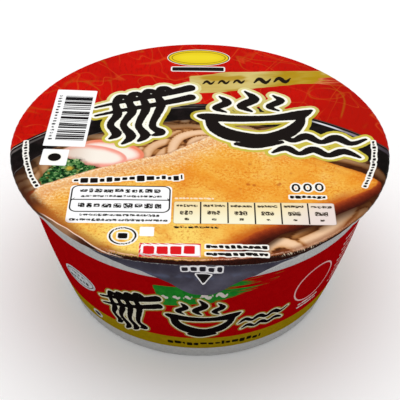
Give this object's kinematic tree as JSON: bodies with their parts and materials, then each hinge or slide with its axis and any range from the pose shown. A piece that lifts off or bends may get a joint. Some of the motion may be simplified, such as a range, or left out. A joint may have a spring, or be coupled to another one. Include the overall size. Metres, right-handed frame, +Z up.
{
  "type": "sealed instant udon noodle bowl",
  "caption": "Sealed instant udon noodle bowl: a tapered printed foam bowl with a rolled rim, shut by a peel-off printed lid whose pull tab is folded down at the front.",
  "frame": {"origin": "middle of the base, on the plane that the foot stands on", "axes": "+Z up through the lid; -Y is the front, where the pull tab is folded down; +X is to the right of the front"},
  "size_m": [0.14, 0.14, 0.0624],
  "materials": {
    "bowl": "satin printed foam: red wall over a gold band, with bare pale grey at the rim and the foot",
    "lid": "glossy coated paper with a full-colour food print, slate grey on the tab"
  },
  "bodies": {
    "root": {"bowl": "bowl", "lid": "lid"}
  },
  "joints": []
}
